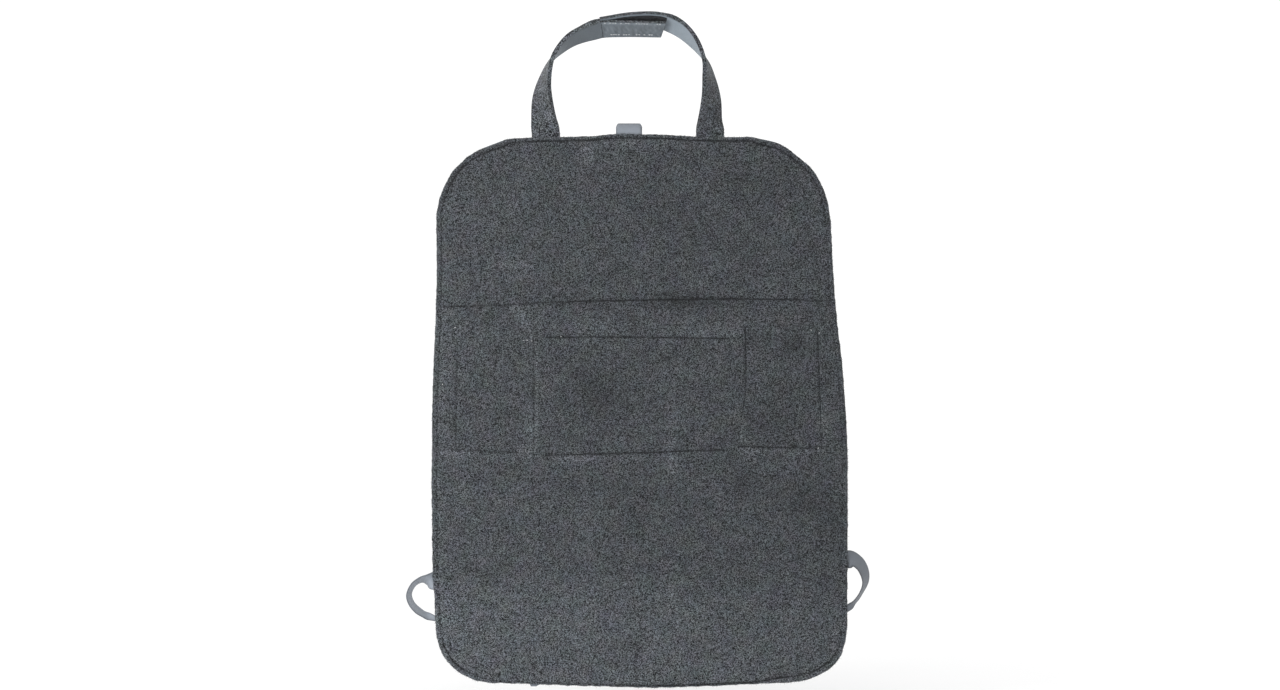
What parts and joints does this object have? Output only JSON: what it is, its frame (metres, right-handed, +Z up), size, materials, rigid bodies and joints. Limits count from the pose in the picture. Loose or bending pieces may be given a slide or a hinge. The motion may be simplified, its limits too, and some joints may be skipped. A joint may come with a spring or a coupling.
{
  "type": "car seat back organizer",
  "caption": "Soft felt-backed organizer that hangs on a car seat's back by a carrying strap, with an upper sleeve, two side pockets, a tissue pocket with a slot and a wide lower pocket.",
  "frame": {"origin": "middle of the felt face that lies against the seat back", "axes": "+X to the right as seen from the seat, +Y from the seat towards the pockets, +Z up along the hanging organizer"},
  "size_m": [0.4648, 0.0475, 0.6744],
  "materials": {
    "felt": "dark grey short-pile felt carpet with a salt-and-pepper grain",
    "lining": "matt slate grey leatherette with a fine grain",
    "tape": "smooth light bluish-grey tape",
    "binding": "dark grey ribbed hem tape",
    "hook_and_loop": "dark hook-and-loop tape",
    "thread": "dark polyester sewing thread"
  },
  "bodies": {
    "root": {"back_panel": "felt", "front_panel": "lining", "mouth_hem": "binding", "lower_pocket": "lining", "lower_pocket_hem": "binding", "bottle_pocket_left": "lining", "bottle_pocket_left_hem": "binding", "bottle_pocket_right": "lining", "bottle_pocket_right_hem": "binding", "tissue_pocket": "lining", "tissue_slot_binding": "binding", "strap_left": "felt", "strap_right": "felt", "strap_loop_tape": "hook_and_loop", "strap_hook_tape": "hook_and_loop", "closing_tab": "tape", "tab_loop_patch": "hook_and_loop", "tab_hook_patch": "hook_and_loop", "side_loop_left": "tape", "side_loop_right": "tape", "perimeter_seam": "thread", "cross_seam": "thread", "left_pocket_seam": "thread", "right_pocket_seam": "thread", "tissue_top_seam": "thread", "tissue_bottom_seam": "thread"}
  },
  "joints": []
}
